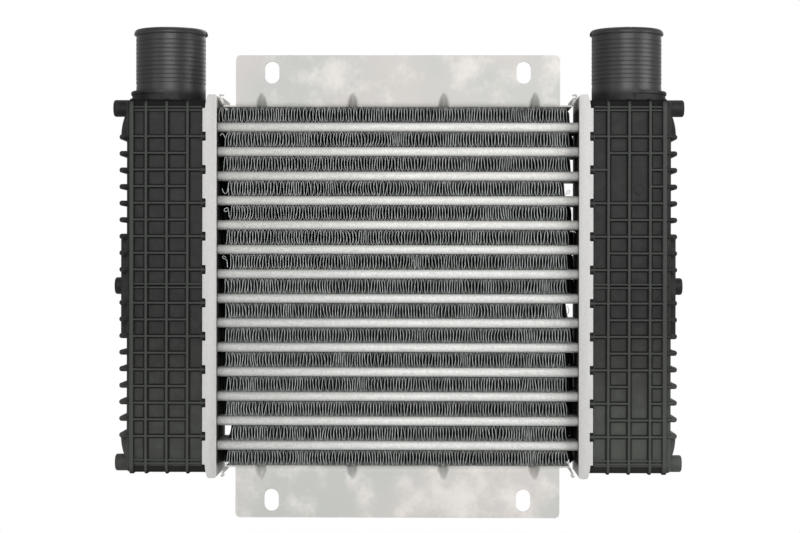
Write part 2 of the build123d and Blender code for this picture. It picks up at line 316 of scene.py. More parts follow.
# %% Black moulded plastic
tank_finish, shader, place = start_material("tank_plastic")
mottle = noise(place, 95, 5, 0.65)
fleck = noise(place, 1500, 2, 0.6)
low_down = axis(place, "Z").between(core_z - 10 * MM, core_z - 150 * MM)
rib_top = abs(axis(place, "Y")).between(face_y - 2.0 * MM, face_y - 0.9 * MM)
on_right = axis(place, "X").between(0, MM)
share = mottle.between(0.35, 0.75) * 0.3 + low_down * (on_right * 0.35 + 0.6)
cell = blend(colour(0, 1, 0), colour(60, 62, 58), share)
ribbed = blend(cell, colour(50, 53, 50), rib_top * 0.75)
neck = axis(place, "Z").between(body_top + 5 * MM, body_top + 12 * MM)
skin = bump(place, fleck * 0.6 + mottle, 0.22, 0.4 * MM)
place.fill(
    shader,
    Base_Color=blend(ribbed, colour(42, 43, 42), neck),
    Roughness=mottle * 0.2 + 0.5 - neck * 0.24,
    Normal=skin,
    Specular_IOR_Level=0.26,
)
# Painted shade beside the ribs, past the twin ribs and in the notches of the rib feet
shaded(place, shader, shaded_places(place), colour(12, 12, 12), skin)

# %% Rubber
rubber_finish, shader, place = start_material("gasket_rubber")
tone = blend((0.012, 0.012, 0.012, 1), (0.03, 0.03, 0.03, 1), noise(place, 200))
place.fill(shader, Base_Color=tone, Roughness=0.8)
print("plate, fin, plastic and rubber finishes made")

# %% Finishes for the CAD nodes that stay: turbulators and gaskets
for name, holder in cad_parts.items():
    if name.startswith("turbulator") or name.endswith("gasket"):
        finish = rubber_finish if name.endswith("gasket") else fin_finish
        if not holder.material_slots:
            holder.data.materials.append(finish)
        for slot in holder.material_slots:
            slot.material = finish

# %% [markdown]
# ## Small helpers for pieces
#
# `finish_piece` does the two things that every new piece needs: it rides on the body, and the
# CAD nodes that it stands for are hidden. `Tree` is a Geometry Nodes tree. It is a `Sock` as
# well, so its nodes and sums are written as before.

# %% Pieces
def new_object(name, data):
    piece = bpy.data.objects.new(name, data)
    bpy.context.scene.collection.objects.link(piece)
    return piece


def finish_piece(piece, slot, *nodes):
    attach(piece, "root")
    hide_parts(*nodes)
    print(piece.name, len(piece.data.polygons), "faces")


def baked(holder):
    """The plain mesh of an object with its modifiers, faces outwards. The object goes away."""
    graph = bpy.context.evaluated_depsgraph_get()
    mesh = bpy.data.meshes.new_from_object(holder.evaluated_get(graph), depsgraph=graph)
    mesh.name = holder.name.replace("_holder", "")
    bpy.data.objects.remove(holder)
    shape = bmesh.new()
    shape.from_mesh(mesh)
    # A closed mesh whose faces point inwards has a negative volume
    if shape.calc_volume(signed=True) < 0:
        bmesh.ops.reverse_faces(shape, faces=shape.faces)
        shape.to_mesh(mesh)
    shape.free()
    return mesh


def thicken(holder, thickness, offset=0.0):
    """Gives a sheet its thickness: half to each side, or all of it inwards with an offset of -1."""
    modifier = holder.modifiers.new("thick", "SOLIDIFY")
    modifier.thickness = thickness
    modifier.offset = offset

# %% Node trees
class Tree(Sock):
    """A Geometry Nodes tree in the making, with named inputs."""

    def __init__(self, name):
        super().__init__(bpy.data.node_groups.new(name, "GeometryNodeTree"), None)
        self.tree.interface.new_socket("Geometry", in_out="OUTPUT", socket_type="NodeSocketGeometry")
        self.identifiers = {}
        self.inlet = self.tree.nodes.new("NodeGroupInput")
        self.outlet = self.tree.nodes.new("NodeGroupOutput")

    def inputs(self, *names, kind="Float"):
        """Declares named inputs and returns their wrapped sockets."""
        for name in names:
            made = self.tree.interface.new_socket(name, in_out="INPUT", socket_type="NodeSocket" + kind)
            self.identifiers[name] = made.identifier
        return [Sock(self.tree, self.inlet.outputs[name]) for name in names]

    def end(self, geometry, material):
        """Realizes instances, sets the material and joins the tree's output."""
        real = self.node("GeometryNodeRealizeInstances", Geometry=geometry)
        painted = self.node("GeometryNodeSetMaterial", Geometry=real, Material=material)
        self.fill(self.outlet, Geometry=painted)

    def bake(self, name, start=None, sheet=None, **values):
        """Runs the tree on a start mesh, or on an empty one, and keeps the plain mesh."""
        holder = new_object(name + "_holder", start or bpy.data.meshes.new(name + "_start"))
        modifier = holder.modifiers.new("tree", "NODES")
        modifier.node_group = self.tree
        for key, value in values.items():
            modifier[self.identifiers[key.replace("_", " ")]] = value
        if sheet:
            thicken(holder, *sheet)
        return baked(holder)

# %% [markdown]
# ## Closed forms and swept strips
#
# Most pieces start as simple closed forms: blocks, prisms and turned shapes, whose edges are
# rounded and which are cut by others. Ribs and bent strips are a rule, so they are swept: each is
# a chain of points, and one Geometry Nodes tree turns every chain into a curve, rounds its
# corners, and pulls a small rounded section along it.

# %% Helpers for closed forms
def mesh_from(name, verts, faces, side=1):
    """A plain mesh, mirrored to its side of the part, whose faces all point outwards."""
    mesh = bpy.data.meshes.new(name)
    mesh.from_pydata([(side * x, y, z) for x, y, z in verts], [], faces)
    shape = bmesh.new()
    shape.from_mesh(mesh)
    bmesh.ops.remove_doubles(shape, verts=shape.verts, dist=1e-6)
    bmesh.ops.recalc_face_normals(shape, faces=shape.faces)
    shape.to_mesh(mesh)
    shape.free()
    return mesh


def block(name, low, high, side=1):
    """A box between two corners."""
    xs, ys, zs = zip(low, high)
    verts = [(x, y, z) for x in xs for y in ys for z in zs]
    faces = [(0, 1, 3, 2), (4, 6, 7, 5), (0, 4, 5, 1), (2, 3, 7, 6), (0, 2, 6, 4), (1, 5, 7, 3)]
    return mesh_from(name, verts, faces, side)


def prism(name, outline, low, high, side=1):
    """A closed outline of (x, z) points, drawn out along Y from low to high."""
    count = len(outline)
    verts = [(x, y, z) for y in (low, high) for x, z in outline]
    faces = [tuple(range(count)), tuple(range(count, 2 * count))]
    faces += [(i, (i + 1) % count, (i + 1) % count + count, i + count) for i in range(count)]
    return mesh_from(name, verts, faces, side)


def lathe(name, profile, centre, axis_name, side=1, steps=96, arc=(0, 2 * pi)):
    """Turns a closed profile of (radius, height) points round an axis through a centre point."""
    whole = arc == (0, 2 * pi)
    turns = steps if whole else steps + 1
    verts, faces = [], []
    for index in range(turns):
        angle = arc[0] + (arc[1] - arc[0]) * index / steps
        for radius, height in profile:
            a, b = radius * cos(angle), radius * sin(angle)
            offset = (a, b, height) if axis_name == "Z" else (height, a, b)
            verts.append(tuple(c + o for c, o in zip(centre, offset)))
    count = len(profile)
    for index in range(steps):
        here, there = index * count, (index + 1) % turns * count
        for spot in range(count):
            after = (spot + 1) % count
            faces.append((here + spot, here + after, there + after, there + spot))
    if not whole:
        faces.append(tuple(range(count)))
        faces.append(tuple(range(steps * count, (steps + 1) * count)))
    return mesh_from(name, verts, faces, side)

# %% Rounding, cutting and joining
def rounded(mesh, radius, segments=3, pick=None, limit=40):
    """The mesh with its sharp edges rounded: all of them, or those that pick says yes to."""
    holder = new_object(mesh.name + "_holder", mesh)
    modifier = holder.modifiers.new("round", "BEVEL")
    modifier.width = radius
    modifier.segments = segments
    modifier.limit_method = "WEIGHT" if pick else "ANGLE"
    modifier.angle_limit = radians(limit)
    if pick:
        weights = mesh.attributes.new("bevel_weight_edge", "FLOAT", "EDGE")
        for edge in mesh.edges:
            ends = [mesh.vertices[index].co for index in edge.vertices]
            weights.data[edge.index].value = 1.0 if pick(*ends) else 0.0
    return baked(holder)


def cut(mesh, tools):
    """The mesh with each of these closed tool meshes taken away from it."""
    holder = new_object(mesh.name + "_holder", mesh)
    cutters = [new_object(tool.name + "_tool", tool) for tool in tools]
    for cutter in cutters:
        modifier = holder.modifiers.new("cut", "BOOLEAN")
        modifier.object = cutter
        modifier.operation = "DIFFERENCE"
        modifier.solver = "EXACT"
    mesh = baked(holder)
    for cutter in cutters:
        bpy.data.objects.remove(cutter)
    return mesh


def joined(name, meshes, material, angle=35):
    """One object from several meshes, in one finish, shaded smooth but for its sharp edges."""
    shape = bmesh.new()
    for mesh in meshes:
        shape.from_mesh(mesh)
    for face in shape.faces:
        face.material_index = 0
    result = bpy.data.meshes.new(name)
    shape.to_mesh(result)
    shape.free()
    result.materials.append(material)
    result.shade_smooth()
    result.set_sharp_from_angle(angle=radians(angle))
    return new_object(name, result)

# %% The rib sweep
def filleted(tree, curve, count, radius):
    """A curve with rounded corners. count is how many points each corner gets."""
    values = {"Curve": curve, "Count": count, "Radius": radius, "Limit_Radius": True}
    return tree.node("GeometryNodeFilletCurve", {"mode": "POLY"}, **values)


sweep = Tree("swept_rib")
[chains] = sweep.inputs("Chains", kind="Geometry")
across, thick, edge, bend = sweep.inputs("Across", "Thickness", "Edge Radius", "Bend Radius")
line = sweep.node("GeometryNodeMeshToCurve", Mesh=chains)
upright = sweep.node("GeometryNodeSetCurveNormal", {"mode": "Z_UP"}, Curve=line)
path = filleted(sweep, upright, 6, bend)
section = sweep.node("GeometryNodeCurvePrimitiveQuadrilateral", Width=across, Height=thick)
soft = filleted(sweep, section, 3, edge)
rib = sweep.node("GeometryNodeCurveToMesh", Curve=path, Profile_Curve=soft, Fill_Caps=True)
sweep.end(rib, tank_finish)
# The sweep keeps a rib upright only on a level chain, so other chains are laid level first
LEVEL = Matrix.Identity(4)
ACROSS_X = Matrix.Rotation(pi / 2, 4, "Y")
ACROSS_Y = Matrix.Rotation(pi / 2, 4, "X")


def swept(name, chains, across, thick, edge, bend, side=1, lay=LEVEL):
    """The ribs along these chains of points, as one plain mesh."""
    verts, edges = [], []
    for chain in chains:
        first = len(verts)
        verts += [lay @ Vector((side * x, y, z)) for x, y, z in chain]
        edges += [(index, index + 1) for index in range(first, len(verts) - 1)]
    start = bpy.data.meshes.new(name + "_chains")
    start.from_pydata(verts, edges, [])
    mesh = sweep.bake(name, start, Across=across, Thickness=thick, Edge_Radius=edge, Bend_Radius=bend)
    mesh.transform(lay.inverted())
    return mesh

# %% [markdown]
# ## Corrugated fins
#
# Each fin row is one thin strip folded to and fro about sixty times. Seen from the front it is a
# bright snake line on black: steep walls joined by round crests, which lean one way or the other.
# Such a shape follows a rule, so Geometry Nodes make it: a flat grid is bent by a formula. Along
# the row the height is nearly a sine, and the sideways place is a ramp with a double-speed wave,
# which turns the sine into a snake. Slow noise moves each fold a little. Into the depth the walls
# weave from side to side, as louvres do, so that hardly any light comes through.

# %% The fin tree
WAVE = 4.7 * MM
FIN_SHEET = 0.32 * MM
COLUMNS_PER_WAVE = 12.0
# How much zigzag and how much sine the height has, and how sharp the zigzag is
ZIGZAG, SWING, SHARP = 0.143, 0.8, 0.985
# How strongly the sideways place steps over a crest
CREST = 0.36
# How far along the noise each row starts from the row below
SEED_STEP = 17.3
# Bands of one strip: front, back, sway, shift, noise shift, and whether it runs on to the headers
BANDS = [
    (0.00, 0.02, 0.01, 0.00, 0.0, False),
    (SECOND, 0.15, -0.06, 0.50, 0.15, False),
    (0.17, 0.32, 0.08, 0.25, 1.7, False),
    (0.34, 0.83, 1.10, 0.25, 5.7, True),
    (0.85, 1.00, -1.05, 0.00, 0.0, True),
]

fins = Tree("corrugated_fin")
length, waves, seed = fins.inputs("Length", "Waves", "Seed")
left, middle_z = fins.inputs("Left End", "Middle Height")
inner_length, inner_left = fins.inputs("Inner Length", "Inner Left End")
limit = core_half_width - 0.1 * MM
wave = length / waves
whole = fins.tree.nodes.new("GeometryNodeJoinGeometry")
for front, back, sway, shift, drift_shift, long in BANDS:
    steps = max(1, round(abs(sway) * 4))
    band_length = wave * -abs(sway) + inner_length
    band_waves = (band_length / wave).math("ROUND") if long else waves
    band_wave = band_length / band_waves if long else wave
    columns = band_waves * COLUMNS_PER_WAVE + 1.0
    grid = fins.node("GeometryNodeMeshGrid", Vertices_X=columns, Vertices_Y=steps + 1)
    spot = fins.node("GeometryNodeInputPosition")
    turns = (axis(spot, "X") + 0.5) * band_waves
    across = axis(spot, "Y") + 0.5
    # Height: a sine with some softened zigzag in it, so that the walls are long and straight
    phase = turns - 0.25
    swing = (phase * (2 * pi)).math("SINE")
    crest = (swing * SHARP).math("ARCSINE") * ZIGZAG + swing * SWING
    # Sideways place: a soft staircase that stands still in a wall and steps over a crest
    double = phase * (4 * pi)
    step = (double.math("SINE") * CREST).math("ARCTAN2", double.math("COSINE") * CREST + 1.0)
    stair = step * (-1 / (2 * pi))

    def wander(speed, start, size):
        """Slow noise along the row, between minus and plus half of size."""
        where = turns * speed + (seed * SEED_STEP + (start + drift_shift))
        flat = {"noise_dimensions": "1D"}
        return (fins.node("ShaderNodeTexNoise", flat, W=where, Scale=1.0, Detail=1.0) - 0.5) * size

    drift = wander(0.16, 0.0, 0.3 if long else 1.0)
    lean = wander(0.35, 40.0, 0.6) * crest
    bow = wander(0.12, 80.0, 0.9) * (1.0 - crest * crest)
    slant = across * sway + (max(0.0, -sway) if long else shift)
    moves = (stair + drift) + (lean + slant) + bow
    free_x = band_wave * (turns + moves) + (inner_left if long else left)
    x = free_x.math("MAXIMUM", -limit).math("MINIMUM", limit)
    y = (across * (back - front) + (front - 0.5)) * (fin_high.y - fin_low.y)
    z = crest * ((fin_height - FIN_SHEET) / 2) + middle_z
    place = fins.node("ShaderNodeCombineXYZ", X=x, Y=y, Z=z)
    fins.feed(whole.inputs[0], fins.node("GeometryNodeSetPosition", Geometry=grid, Position=place))
strip = Sock(fins.tree, whole.outputs[0])
fins.end(fins.node("GeometryNodeSetShadeSmooth", Geometry=strip, Shade_Smooth=True), fin_finish)

# %% Fin rows
# Where each row stops short of the header plates, in millimetres, from the bottom row up
LEFT_GAPS = [7.1, 11.6, 6.6, 7.1, 5.9, 5.9, 6.6, 5.6, 9.6, 7.1, 9.3, 8.6, 4.6, 6.6, 1.5]
RIGHT_GAPS = [5.4, 6.6, 6.6, 6.0, 7.0, 4.1, 9.1, 6.1, 5.4, 6.0, 7.0, 11.1, 7.0, 5.0, 6.5]
# Rows whose inner folds stop short too, so that the white ground shows past their last fold
OPEN_LEFT = {2: 7.6}
OPEN_RIGHT = {15: 3.0, 13: 2.0, 12: 7.0, 11: 1.5, 7: 5.4}
CLOSED = 0.1
# Loose ends of the front folds: row, side, then millimetres from the header plate and height share
LOOSE_ENDS = [
    (14, -1, [(2.5, 0.5), (3.4, 0.85), (4.9, 0.7), (6.8, 0.1)]),
    (12, -1, [(3.9, -0.05), (5.2, -0.6), (7.2, -0.85), (8.6, -0.4), (9.4, 0.7)]),
    (11, -1, [(10.2, -0.7), (9.4, 0.2), (8.7, 0.8), (6.2, 0.55), (5.5, 0.25), (7.0, 0.1), (8.6, 0.3)]),
    (9, -1, [(8.6, -0.8), (8.2, 0.1), (7.2, 0.35), (5.0, 0.45), (4.0, 0.65), (5.2, 0.85), (7.2, 0.6)]),
    (12, 1, [(10.4, -0.9), (9.6, -0.4), (8.4, -0.1), (7.2, -0.35), (7.8, -0.75), (9.6, -0.65)]),
    (10, 1, [(7.2, 0.8), (6.0, 0.95), (4.2, 0.9), (2.4, 0.7)]),
    (7, 1, [(9.0, 0.7), (7.6, 0.2), (8.4, -0.3), (9.6, -0.5)]),
]


def fin_row(name, number):
    """One row of fins, counted from the bottom, with its loose ends if it has any."""
    low, high = box(name)
    middle_z = (low.z + high.z) / 2
    left_gap, right_gap = LEFT_GAPS[number - 1], RIGHT_GAPS[number - 1]
    inner_gap = OPEN_LEFT.get(number, CLOSED)
    row_length = 2 * core_half_width - (left_gap + right_gap) * MM
    strip = fins.bake(
        "corrugated_" + name,
        sheet=(FIN_SHEET,),
        Length=row_length - WAVE,
        Waves=float(round(row_length / WAVE) - 1),
        Seed=float(number),
        Left_End=left_gap * MM - core_half_width,
        Middle_Height=middle_z,
        Inner_Left_End=inner_gap * MM - core_half_width,
        Inner_Length=2 * core_half_width - (inner_gap + OPEN_RIGHT.get(number, CLOSED)) * MM,
    )
    front, half = fin_low.y + 2 * MM, fin_height / 2 - FIN_SHEET
    chains = [
        [(side * (core_half_width - gap * MM), front, middle_z + up * half) for gap, up in path]
        for row, side, path in LOOSE_ENDS
        if row == number
    ]
    if not chains:
        return new_object("corrugated_" + name, strip)
    curls = swept("loose_ends", chains, 1.5 * FIN_SHEET, 4 * MM, 0.1 * MM, MM, lay=ACROSS_Y)
    return joined("corrugated_" + name, [strip, curls], fin_finish)


for index, name in enumerate(FINS):
    finish_piece(fin_row(name, index + 1), "fin_aluminium", name)

# %% [markdown]
# ## Flat tubes
#
# The tubes are pressed flat from round ones, so each has two flat sides and full round noses,
# which catch a bright line of light. Curve to Mesh sweeps one tube's outline along X, and
# instances of it go on a line of points, one for each row.

# %% The tube tree
TUBE_WALL = 0.5 * MM
tree = Tree("flat_tubes")
size = tube_high - tube_low
half = tube_high.x
rail = tree.node("GeometryNodeCurvePrimitiveLine", Start=(-half, 0, 0), End=(half, 0, 0))
outline = tree.node("GeometryNodeCurvePrimitiveQuadrilateral", Width=size.y, Height=size.z)
round_nose = filleted(tree, outline, 9, 0.495 * size.z)
tube = tree.node("GeometryNodeCurveToMesh", Curve=rail, Profile_Curve=round_nose)
first, offset = (0, 0, (tube_low.z + tube_high.z) / 2), (0, 0, row_pitch)
places = tree.node("GeometryNodeMeshLine", Count=len(TUBES), Start_Location=first, Offset=offset)
tree.end(tree.node("GeometryNodeInstanceOnPoints", Points=places, Instance=tube), tube_finish)
mesh = tree.bake("flat_tubes", sheet=(TUBE_WALL, -1.0))
mesh.shade_smooth()
finish_piece(new_object("flat_tubes", mesh), "tube_aluminium", *TUBES)

# %% [markdown]
# ## End tanks
#
# An end tank is one moulding of black nylon: a hollow body, a lattice of ribs that stops the hot
# pressed air from bulging it, three locating bosses and a hose neck. The ribs are swept and the
# rest is closed forms. They overlap a little, as the walls of a moulding run into each other.

# %% Rib paths
def wrap_path(start, reach, z):
    """Round a tank at one height: along the front, round the outer side, back along the back."""
    y = face_y - 0.6 * MM - RIB_DEPTH / 2
    x = reach - RIB_DEPTH / 2
    return [(start, -y, z), (x, -y, z), (x, y, z), (start, y, z)]


def level_chains(side):
    """Every level rib of a tank. The right tank's mould leaves a few stretches bare."""
    bare = {7: (0, 2), 6: (0, 2), -6: (1, 2), -7: (1, 2)} if side > 0 else {}
    chains = []
    for level in RIB_LEVELS:
        start = header_edge - 2.2 * MM if level % 2 else column_x[0]
        path = wrap_path(start, body_end + 3.0 * MM, core_z + level * RIB_PITCH)
        if level not in bare:
            chains.append(path)
            continue
        inner, outer = (column_x[index] for index in bare[level])
        chains.append([(outer, *path[0][1:])] + path[1:])
        if inner > start:
            chains.append([path[0], (inner, *path[0][1:])])
    return chains


rib_y = face_y - RIB_DEPTH / 2
rib_z = body_half + 1.5 * MM - RIB_DEPTH / 2


def column_chains():
    """Upright ribs: down the front, under the bottom, up the back and in to the neck on top."""
    chains = []
    for x in column_x:
        inner = (max(0.0, (NECK_RADIUS - MM) ** 2 - (x - neck_x) ** 2)) ** 0.5
        front = [(x, -inner, core_z + rib_z), (x, -rib_y, core_z + rib_z), (x, -rib_y, core_z - rib_z)]
        chains.append(front + [(a, -b, c) for a, b, c in reversed(front)])
    return chains

# %% Tank body
def tank_body(side):
    """The hollow body, with its foot inside the header plate and the bore of the neck."""
    wall = 3.2 * MM
    # The left mould's outer wall stands further in than the right one's
    end = body_end - (1.1 * MM if side < 0 else 0.0)
    low, high = (tank_low.x, -body_face, core_z - body_half), (end, body_face, body_top)

    def outer_corner(a, b):
        return abs(a.x) > end - MM and abs(b.x) > end - MM and abs(a.z - b.z) > MM

    shell = rounded(block("tank_shell", low, high, side), 8 * MM, 6, outer_corner)
    shell = rounded(shell, 2.2 * MM, 3, limit=60)
    inner_low = (tank_low.x - 5 * MM, -body_face + wall, core_z - body_half + wall)
    hollow = block("tank_hollow", inner_low, (body_end - wall, body_face - wall, body_top - wall), side)
    profile = [(0, -5 * MM), (NECK_BORE, -5 * MM), (NECK_BORE, 9 * MM), (0, 9 * MM)]
    bore = lathe("tank_bore", profile, (neck_x, 0, body_top - wall), "Z", side)
    return cut(shell, [hollow, bore])

# %% Neck and collar
def hose_neck(side):
    """Neck with a rolled bead at its lip and eleven fine grip rings below it."""
    top = tank_high.z - body_top
    # Millimetres out from the neck's outside and down from its top
    shape = []
    for ring in range(11, 0, -1):
        down = 4.8 + (ring + 0.5) * 3.6
        shape += [(-0.3, down + 0.35), (-0.3, down), (0.12, down - 0.4), (0, down - 3.0)]
    shape += [(-0.3, 5.6), (-0.3, 5.0), (1.15, 4.8), (1.75, 4.0), (1.65, 2.6), (0.95, 1.2), (0.15, 0.3)]
    shape += [(-0.65, 0), (-2.3, 0), (-3.0, 0.8)]
    profile = [(NECK_BORE, -2 * MM), (NECK_RADIUS, -2 * MM), (NECK_RADIUS, top - 50 * MM)]
    profile += [(NECK_RADIUS + out * MM, top - down * MM) for out, down in shape]
    return lathe("hose_neck", profile, (neck_x, 0, body_top), "Z", side, 128)


def half_collar(side):
    """Low wall and lip round the outer half of the neck's root. Both ends run into the neck."""
    # Millimetres out from the neck's outside and up from the tank's body
    shape = [(-1, -1), (3.4, -1), (3.4, 5.9), (4.0, 6.2), (4.3, 6.7), (4.3, 8.6), (3.6, 9.3), (-1, 9.3)]
    root = NECK_RADIUS - MM
    profile = [(NECK_RADIUS + out * MM, up * MM) for out, up in shape]
    arc = (radians(-88), radians(88))
    mesh = lathe("half_collar", profile, (neck_x, 0, body_top), "Z", side, 64, arc)
    for vertex in mesh.vertices:
        away = Vector((vertex.co.x - side * neck_x, vertex.co.y))
        share = (side * away.x / away.length) ** 0.6
        away *= (root + (away.length - root) * share) / away.length
        vertex.co.x, vertex.co.y = side * neck_x + away.x, away.y
    return mesh

# %% Bosses, ears and the moulded ring
def boss(side, level, short):
    """A locating boss: a stout pin with a rounded end."""
    inner, radius = corner_x - 2.6 * MM, 7.2 * MM
    length = tank_high.x - inner - short
    end = [(0, 1.6), (0.4, 0.6), (1.3, 0)]
    profile = [(0, 0), (radius, 0), *[(radius - a * MM, length - b * MM) for a, b in end], (0, length)]
    return lathe("boss", profile, (inner, 0, core_z + level), "X", side, 40)


def ear(side, end):
    """Domed ear that braces the outer boss, above or below the last level rib."""
    base = core_z + end * RIB_COUNT * RIB_PITCH
    inner, tall, wide, steps = body_end - 8 * MM, 26.0 * MM, 13.5 * MM, 12
    rim = [(corner_x, base), (inner + wide, base)]
    for step in range(1, steps + 1):
        angle = step / steps * pi / 2
        rim.append((inner + wide * max(0.0, cos(angle)) ** 0.8, base + end * tall * sin(angle)))
    rim.append((corner_x, base + end * tall))
    return rounded(prism("ear", rim, -15 * MM, 15 * MM, side), 1.5 * MM, 3)


def moulded_ring():
    """The plain ring in the front of the right tank."""
    x, z, radius, steps = 200.9 * MM, 274.1 * MM, 3.8 * MM, 24
    turns = [2 * pi * step / steps for step in range(steps + 1)]
    circle = [(x + radius * cos(turn), -body_face, z + radius * sin(turn)) for turn in turns]
    return swept("moulded_ring", [circle], 1.0 * MM, 0.8 * MM, 0.15 * MM, MM, lay=ACROSS_Y)

# %% Both tanks
def rib_parts(side):
    """The lattice. Each set of ribs has a depth, a thickness, an edge radius and a bend radius."""
    levels, columns = level_chains(side), column_chains()
    # The upright rib at the outer corners goes once round the tank from the middle of its top
    turns = [(0, 1), (-1, 1), (-1, -1), (1, -1), (1, 1), (0, 1)]
    corner = [(corner_x, back * rib_y, core_z + up * rib_z) for back, up in turns]
    # Every level rib is stouter across the outer side, between the two corners
    x, reach = body_end + 1.4 * MM, 25 * MM
    outer = [[(x, y, core_z + level * RIB_PITCH) for y in (-reach, reach)] for level in RIB_LEVELS]
    yield swept("level_ribs", levels, RIB_DEPTH, 1.7 * MM, 0.4 * MM, 9 * MM, side)
    yield swept("column_ribs", columns, RIB_DEPTH, 2.3 * MM, 0.5 * MM, 4 * MM, side, ACROSS_X)
    yield swept("corner_rib", [corner], RIB_DEPTH, 3.7 * MM, 0.8 * MM, 4 * MM, side, ACROSS_X)
    yield swept("outer_ribs", outer, 8 * MM, 4.5 * MM, 2.1 * MM, MM, side)
    for level in TWIN_LEVELS:
        for lift in (-1.4 * MM, 1.4 * MM):
            path = wrap_path(header_edge - MM, body_end - 1.5 * MM, core_z + level + lift)
            yield swept("twin_ribs", [path], RIB_DEPTH, 1.3 * MM, 0.35 * MM, 7 * MM, side)


def rib_keys(side):
    """The foot of each long rib, front and back, which keys into a notch of the header plate."""
    for level in LONG_LEVELS:
        z = core_z + level * RIB_PITCH
        for front in (-1, 1):
            near, far = sorted((front * (face_y - 0.7 * MM), front * (body_face - 3 * MM)))
            low = (header_edge - 2.5 * MM, near, z - 3.5 * MM)
            high = (header_edge + 1.2 * MM, far, z + 3.5 * MM)
            yield rounded(block("key", low, high, side), 0.3 * MM, 1)


def end_tank(word, side):
    parts = [tank_body(side), hose_neck(side), half_collar(side)]
    parts += [boss(side, level, short) for level, short in BOSSES]
    parts += [ear(side, end) for end in (-1, 1)]
    pad_low = (body_end - 4 * MM, -18 * MM, core_z - 3 * RIB_PITCH)
    pad_high = (body_end + 5.2 * MM, 18 * MM, core_z + 3 * RIB_PITCH)
    parts.append(rounded(block("pad", pad_low, pad_high, side), 1.5 * MM))
    parts += [*rib_parts(side), *rib_keys(side)]
    if side == 1:
        parts.append(moulded_ring())
    finish_piece(joined(word + "_end_tank", parts, tank_finish), "tank_plastic", word + "_tank")


for word, side in SIDES.items():
    end_tank(word, side)

# %% [markdown]
# ## Header plates
#
# A header plate is a shallow pan of sheet that the tube ends are brazed into. Its rim is crimped
# over the tank's foot, with a notch wherever a long rib runs into it. The pan is cut from a block
# with rounded edges, because its bends are wider on the core side than at the rim.

# %% Header plates
HEADER_SHEET = 1.6 * MM
# How wide the crimped rim reaches in over the tank's foot
RIM = 1.3 * MM
# Outline of the cut that leaves the rim out past the tank's ends: back from the edge, and up, in mm
END_CUT = [(2.2, 148.6), (2.4, 151), (2.8, 154), (3.6, 157.5), (5.0, 160.5), (-1, 160.5), (-1, 148.6)]


def header_pan(word, side):
    low = (header_low.x, -face_y, header_low.z)
    high = (header_edge, face_y, header_high.z)
    pan = block("pan", low, high, side)
    # First the short edges of the floor, then its two long ones, then all the others
    for long, radius in ((False, 2.2 * MM), (True, 1.6 * MM)):
        def floor_edge(a, b):
            on_floor = max(abs(a.x), abs(b.x)) < header_low.x + 0.1 * MM
            return on_floor and (abs(a.z - b.z) > 100 * MM) == long

        pan = rounded(pan, radius, 4, floor_edge)
    pan = rounded(pan, 0.7 * MM, 2, limit=60)
    pocket = [value + HEADER_SHEET for value in low], [value - HEADER_SHEET for value in high]
    inset = HEADER_SHEET + RIM
    mouth_low = (low[0] + 4 * MM, low[1] + inset, low[2] + inset)
    mouth_high = (high[0] + 5 * MM, high[1] - inset, high[2] - inset)
    tools = [block("pocket", *pocket, side), block("mouth", mouth_low, mouth_high, side)]
    for level in LONG_LEVELS:
        z = core_z + level * RIB_PITCH
        notch_low = (high[0] - 2.8 * MM, low[1] - MM, z - 3.8 * MM)
        notch_high = (high[0] + MM, high[1] + MM, z + 3.8 * MM)
        tools.append(rounded(block("notch", notch_low, notch_high, side), 0.6 * MM, 2))
    for end in (-1, 1):
        outline = [(header_edge - back * MM, core_z + end * up * MM) for back, up in END_CUT]
        tools.append(prism("end_cut", outline, -face_y - MM, face_y + MM, side))
    piece = joined(word + "_header_pan", [cut(pan, tools)], header_finish, 30)
    finish_piece(piece, "header_aluminium", word + "_header")


for word, side in SIDES.items():
    header_pan(word, side)

# %% [markdown]
# ## Side plates
#
# Each side plate is one bent sheet. Four dents are pressed across the bend where it turns up into
# the mounting flange, which stop it from opening. The sheet is a grid whose rows follow the bend.
# A dent is a rule too: near its middle, points move along the diagonal until they meet a rounded
# valley. Solidify then gives the sheet its thickness.

# %% Side plate sizes
plate_low, plate_high = box("top_side_plate")
seat_height = fin_height + box(FINS[-1])[0].z - core_z
flange_rise = plate_high.z - core_z - seat_height
SHEET = 2.0 * MM
PLATE_DEPTH = 2 * fin_high.y + 2 * MM
FLANGE_HALF = 135.2 * MM
FLANGE_COLUMNS = 360
BEND_RADIUS = 3.8 * MM
CORNER_RADIUS = 4 * MM
# The sheet has fine rows up to here from its outer corner, because the dents reach that far
FINE = 14 * MM
DENTS = [(index - 1.5) * 76 * MM for index in range(4)]
DENT_REACH = 13.5 * MM
DENT_WIDTH = 6.2 * MM
DENT_BLEND = 0.5 * MM
# The slots: radius of their ends, half the way between the two centres, place across and height
SLOT_RADIUS, SLOT_HALF, SLOT_X, SLOT_RISE = 6.05 * MM, 3.15 * MM, 105 * MM, 28.75 * MM
print(f"flange {2000 * FLANGE_HALF:.1f} mm wide, {1000 * flange_rise:.2f} mm tall")

# %% Side plate sheet
def steps_between(start, end, count):
    """count even steps from start to end, without start itself."""
    return [start + (end - start) * step / count for step in range(1, count + 1)]


def plate_section():
    """Middle line of the bent sheet, as (back, up) from its outer corner, back edge first."""
    middle, corner = SHEET / 2, SHEET / 2 + BEND_RADIUS
    edge, fine = PLATE_DEPTH + 2 * MM, FINE + MM
    backs = [edge, *steps_between(edge, fine, 4), *steps_between(fine, corner, 14)]
    points = [(back, middle) for back in backs]
    for angle in steps_between(0, pi / 2, 5):
        points.append((corner - BEND_RADIUS * sin(angle), corner - BEND_RADIUS * cos(angle)))
    ups = [*steps_between(corner, FINE, 13), *steps_between(FINE, flange_rise, 5)]
    return points + [(middle, up) for up in ups]


